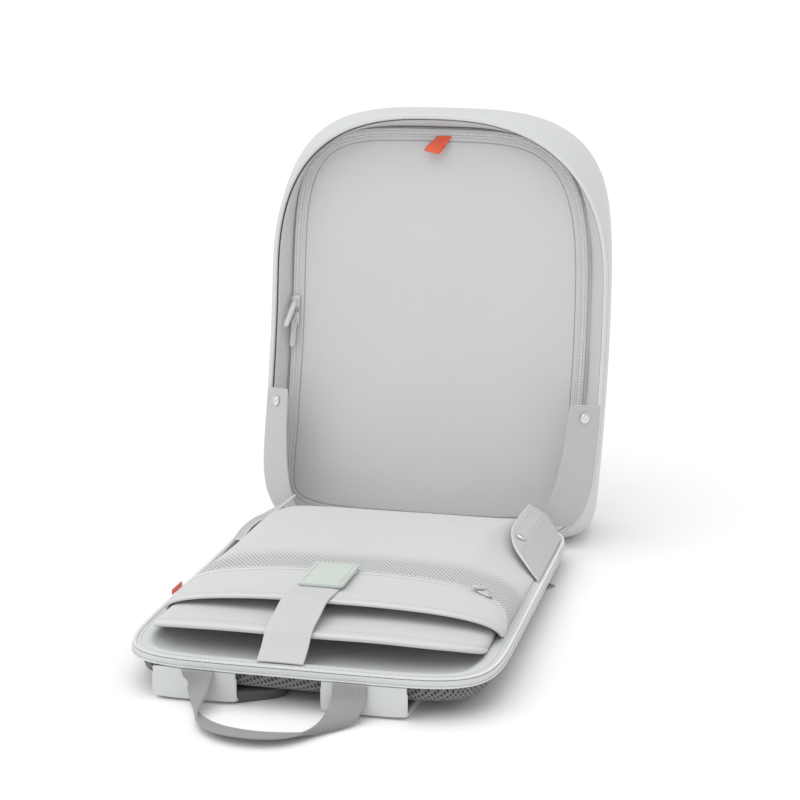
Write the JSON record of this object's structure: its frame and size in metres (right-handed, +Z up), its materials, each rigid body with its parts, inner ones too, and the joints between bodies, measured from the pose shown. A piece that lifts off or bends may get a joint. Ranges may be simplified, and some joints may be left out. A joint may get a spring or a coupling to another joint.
{
  "type": "backpack",
  "caption": "Slim anti-theft backpack laid open: padded back half with sleeve, zipped pocket and closing strap, and a moulded front shell standing on its base.",
  "frame": {"origin": "middle of the bounding box at floor level, under the open backpack", "axes": "+X to the right seen from the carry handle, +Y from the carry handle to the standing shell, +Z up"},
  "size_m": [0.3258, 0.666, 0.3959],
  "materials": {
    "shell": "matte coated weave",
    "lining": "matte woven lining",
    "padding": "matte spacer mesh",
    "webbing": "matte woven webbing",
    "zip": "woven tape with matte coil",
    "metal": "satin",
    "tab": "soft matte",
    "red": "matte woven tape"
  },
  "bodies": {
    "root": {"back_panel": "shell", "front_shell": "shell", "strap_cover_left": "shell", "strap_cover_right": "shell", "laptop_sleeve": "lining", "mesh_pocket": "lining", "tablet_pocket": "lining", "back_wing_right": "lining", "back_wing_left": "lining", "shell_collar": "lining", "divider_panel": "lining", "shell_flap_right": "lining", "shell_flap_left": "lining", "hinge_panel": "lining", "air_mesh_pad": "padding", "strap_mesh_left": "padding", "strap_mesh_right": "padding", "closing_strap": "webbing", "strap_webbing_left": "webbing", "strap_webbing_right": "webbing", "carry_handle": "webbing", "back_zip_tape": "zip", "pocket_zip_tape": "zip", "shell_zip_tape": "zip", "divider_zip": "zip", "pocket_slider": "metal", "pocket_pull": "metal", "wing_snap_right": "metal", "divider_slider_upper": "metal", "divider_pull_upper": "metal", "divider_slider_lower": "metal", "divider_pull_lower": "metal", "shell_snap_right": "metal", "shell_snap_left": "metal", "closing_tab": "tab", "side_label": "red", "red_pull_loop": "red"}
  },
  "joints": []
}
